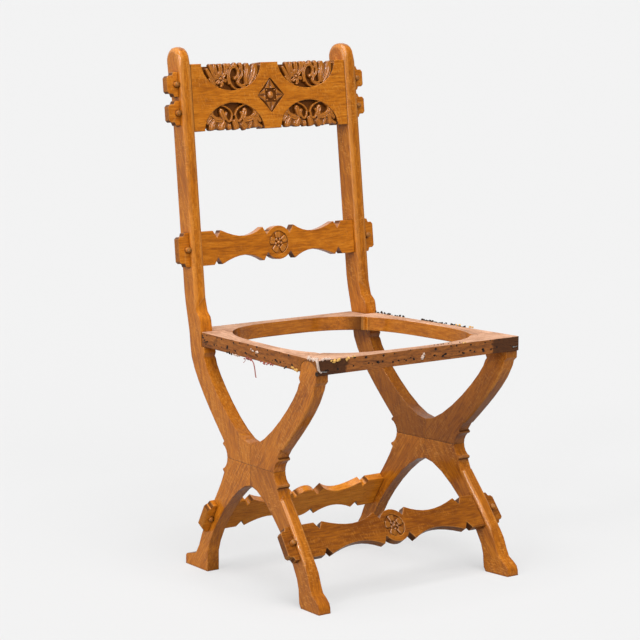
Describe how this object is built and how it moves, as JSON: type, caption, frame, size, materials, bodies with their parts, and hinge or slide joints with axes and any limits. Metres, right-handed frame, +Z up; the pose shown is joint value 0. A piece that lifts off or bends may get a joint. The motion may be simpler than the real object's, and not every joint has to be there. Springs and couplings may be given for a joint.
{
  "type": "chair frame",
  "caption": "Oak side chair frame with X-shaped side frames, a leaning back with a carved crest rail, pegged shaped rails and an open seat frame for upholstery.",
  "frame": {"origin": "on the floor under the middle of the chair's overall box", "axes": "+Z up, -Y the way the chair faces, +X to the viewer's right when the viewer faces the chair"},
  "size_m": [0.5064, 0.5113, 0.9706],
  "materials": {
    "varnished_oak": "warm glossy varnish over quarter-sawn oak",
    "bare_oak": "unvarnished, dusty, with old tack holes",
    "dowel_wood": "plain, glued"
  },
  "bodies": {
    "root": {"crest_rail": "varnished_oak", "crest_rail_left_lower_peg": "varnished_oak", "crest_rail_left_upper_peg": "varnished_oak", "crest_rail_right_lower_peg": "varnished_oak", "crest_rail_right_upper_peg": "varnished_oak", "front_stretcher": "varnished_oak", "front_stretcher_left_peg": "varnished_oak", "front_stretcher_right_peg": "varnished_oak", "left_arm": "varnished_oak", "left_front_leg": "varnished_oak", "left_front_seam_dowel": "dowel_wood", "left_lower_seam_dowel": "dowel_wood", "left_post": "varnished_oak", "left_rear_leg": "varnished_oak", "left_rear_rail_dowel": "dowel_wood", "left_rear_seam_dowel": "dowel_wood", "left_side_rail_back_dowel": "dowel_wood", "left_side_rail_front_dowel": "dowel_wood", "left_upper_seam_dowel": "dowel_wood", "rear_stretcher": "varnished_oak", "rear_stretcher_left_peg": "varnished_oak", "rear_stretcher_right_peg": "varnished_oak", "right_arm": "varnished_oak", "right_front_leg": "varnished_oak", "right_front_seam_dowel": "dowel_wood", "right_lower_seam_dowel": "dowel_wood", "right_post": "varnished_oak", "right_rear_leg": "varnished_oak", "right_rear_rail_dowel": "dowel_wood", "right_rear_seam_dowel": "dowel_wood", "right_side_rail_back_dowel": "dowel_wood", "right_side_rail_front_dowel": "dowel_wood", "right_upper_seam_dowel": "dowel_wood", "seat_front_rail": "bare_oak", "seat_left_rail": "bare_oak", "seat_rear_rail": "bare_oak", "seat_right_rail": "bare_oak", "waist_rail": "varnished_oak", "waist_rail_left_peg": "varnished_oak", "waist_rail_right_peg": "varnished_oak"}
  },
  "joints": []
}
